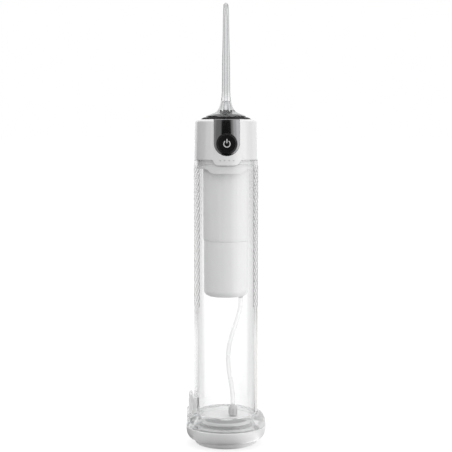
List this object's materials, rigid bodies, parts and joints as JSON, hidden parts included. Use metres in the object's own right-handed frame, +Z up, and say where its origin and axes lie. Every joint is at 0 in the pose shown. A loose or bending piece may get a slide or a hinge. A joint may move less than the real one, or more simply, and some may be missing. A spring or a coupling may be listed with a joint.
{
  "type": "water flosser",
  "caption": "Cordless water flosser: a clear round tank on a flared base, with a pump unit that lifts out of it, a suction hose, a power button and a slim clear jet nozzle.",
  "frame": {"origin": "centre of the foot's underside", "axes": "+Z up along the tank's axis, the power button faces -Y, the fill port is on the -X side"},
  "size_m": [0.0552, 0.0552, 0.3039],
  "materials": {
    "clear_plastic": "clear polished plastic",
    "milky_plastic": "translucent white plastic, glossy",
    "white_plastic": "glossy white plastic",
    "core_plastic": "satin light grey plastic",
    "foot_rubber": "soft grey rubber",
    "silicone": "translucent silicone",
    "dark_chrome": "dark chrome-plated plastic",
    "black_plastic": "glossy black plastic",
    "gear_plastic": "moulded acetal",
    "steel": "plain steel",
    "magnet": "ferrite magnet",
    "battery_wrap": "plastic sleeve on a metal can",
    "circuit_board": "green solder mask"
  },
  "bodies": {
    "tank": {"tank_tube": "clear_plastic", "base_collar": "clear_plastic", "base_cup": "milky_plastic", "base_seal": "silicone", "foot_ring": "foot_rubber", "hinge_pin": "clear_plastic"},
    "fill_door": {"port_door": "clear_plastic", "port_plug": "silicone"},
    "pump_unit": {"housing_shell": "white_plastic", "trim_panel": "dark_chrome", "button_bezel": "dark_chrome", "button_boot": "silicone", "core_collar": "core_plastic", "collar_seal": "silicone", "case_upper": "core_plastic", "case_lower": "core_plastic", "case_seal": "silicone", "hose_barb": "silicone", "suction_hose": "silicone", "intake_filter": "silicone", "inlet_tube": "silicone", "battery_cell": "battery_wrap", "battery_tab_bottom": "steel", "battery_tab_top": "steel", "control_board": "circuit_board", "control_chip": "black_plastic", "tact_switch": "black_plastic", "usb_socket": "steel", "motor_can": "steel", "motor_endcap": "black_plastic", "magnet_front": "magnet", "magnet_back": "magnet", "gear_frame": "white_plastic", "gear_axle": "steel", "pump_barrel": "white_plastic", "valve_block": "white_plastic", "valve_cover": "white_plastic", "cover_screw_left": "steel", "cover_screw_right": "steel", "nozzle_socket": "white_plastic"},
    "power_button": {"button_cap": "black_plastic"},
    "charge_cover": {"charge_flap": "silicone"},
    "rotor": {"motor_rotor": "steel", "pinion": "gear_plastic"},
    "crank": {"crown_gear": "gear_plastic"},
    "rod": {"connecting_rod": "gear_plastic"},
    "plunger": {"piston": "gear_plastic", "piston_cup": "silicone"},
    "outlet_poppet": {"outlet_valve": "silicone"},
    "inlet_poppet": {"inlet_valve": "silicone"},
    "nozzle_dial": {"nozzle_collar": "black_plastic"},
    "jet_nozzle": {"nozzle": "clear_plastic", "nozzle_seal": "silicone"}
  },
  "joints": [
    {"name": "unit_lift", "type": "slide", "parent": "tank", "child": "pump_unit", "axis": [0, 0, 1], "range_m": [0, 0.18]},
    {"name": "fill_door_swing", "type": "hinge", "parent": "tank", "child": "fill_door", "pos_m": [-0.0254, 0, 0.0214], "axis": [0, -1, 0], "range_deg": [0, 110]},
    {"name": "button_press", "type": "slide", "parent": "pump_unit", "child": "power_button", "axis": [0, 1, 0], "range_m": [0, 0.001], "stiffness_N_per_m": 400, "springref_m": -0.002},
    {"name": "charge_flap_swing", "type": "hinge", "parent": "pump_unit", "child": "charge_cover", "pos_m": [0, 0.0217, 0.1984], "axis": [-1, 0, 0], "range_deg": [0, 110]},
    {"name": "motor_spin", "type": "hinge", "parent": "pump_unit", "child": "rotor", "pos_m": [0, 0.0035, 0.1907], "axis": [0, 0, 1], "continuous": true},
    {"name": "crank_spin", "type": "hinge", "parent": "pump_unit", "child": "crank", "pos_m": [0, 0.0107, 0.1967], "axis": [0, 1, 0], "continuous": true},
    {"name": "rod_pivot", "type": "hinge", "parent": "crank", "child": "rod", "pos_m": [0, 0.0107, 0.1951], "axis": [0, 1, 0], "continuous": true},
    {"name": "piston_stroke", "type": "slide", "parent": "pump_unit", "child": "plunger", "axis": [0, 0, 1], "range_m": [-0.0032, 0]},
    {"name": "outlet_valve_lift", "type": "slide", "parent": "pump_unit", "child": "outlet_poppet", "axis": [0, 0, 1], "range_m": [0, 0.0005], "stiffness_N_per_m": 20, "springref_m": -0.0005},
    {"name": "inlet_valve_drop", "type": "slide", "parent": "pump_unit", "child": "inlet_poppet", "axis": [0, 0, -1], "range_m": [0, 0.0005], "stiffness_N_per_m": 20, "springref_m": -0.0005},
    {"name": "nozzle_swivel", "type": "hinge", "parent": "pump_unit", "child": "nozzle_dial", "pos_m": [0, 0, 0.2243], "axis": [0, 0, 1], "continuous": true},
    {"name": "nozzle_pull", "type": "slide", "parent": "nozzle_dial", "child": "jet_nozzle", "axis": [0, 0, 1], "range_m": [0, 0.016]}
  ],
  "couplings": [
    {"joint": "crank_spin", "follows": "motor_spin", "ratio": 0.41667},
    {"joint": "rod_pivot", "follows": "motor_spin", "ratio": -0.41667}
  ]
}
